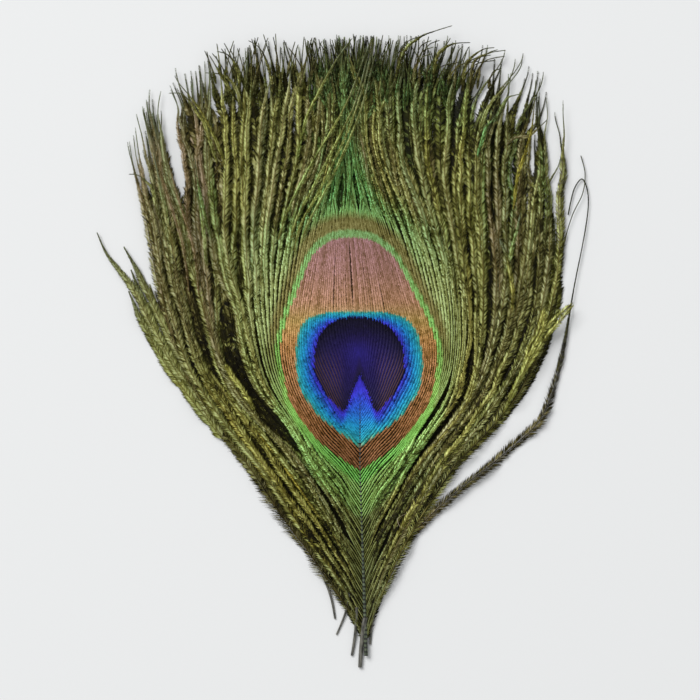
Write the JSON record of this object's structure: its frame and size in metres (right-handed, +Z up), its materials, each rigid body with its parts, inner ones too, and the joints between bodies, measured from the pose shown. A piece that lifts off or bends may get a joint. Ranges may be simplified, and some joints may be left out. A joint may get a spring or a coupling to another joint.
{
  "type": "peacock feather",
  "caption": "Trimmed peacock eye feather lying face up, with its banded eye, side barbs parting into a loose fringe, and a short cut shaft.",
  "frame": {"origin": "on the surface the feather lies on, under the middle of its eye", "axes": "+Y from the cut end of the shaft towards the fringe, +X across the vane, +Z up out of the eye's face"},
  "size_m": [0.0966, 0.1248, 0.0025],
  "materials": {
    "barbs": "iridescent satin keratin barbs",
    "shaft": "dull horn-like keratin"
  },
  "bodies": {
    "root": {"feather": "barbs"}
  },
  "joints": []
}
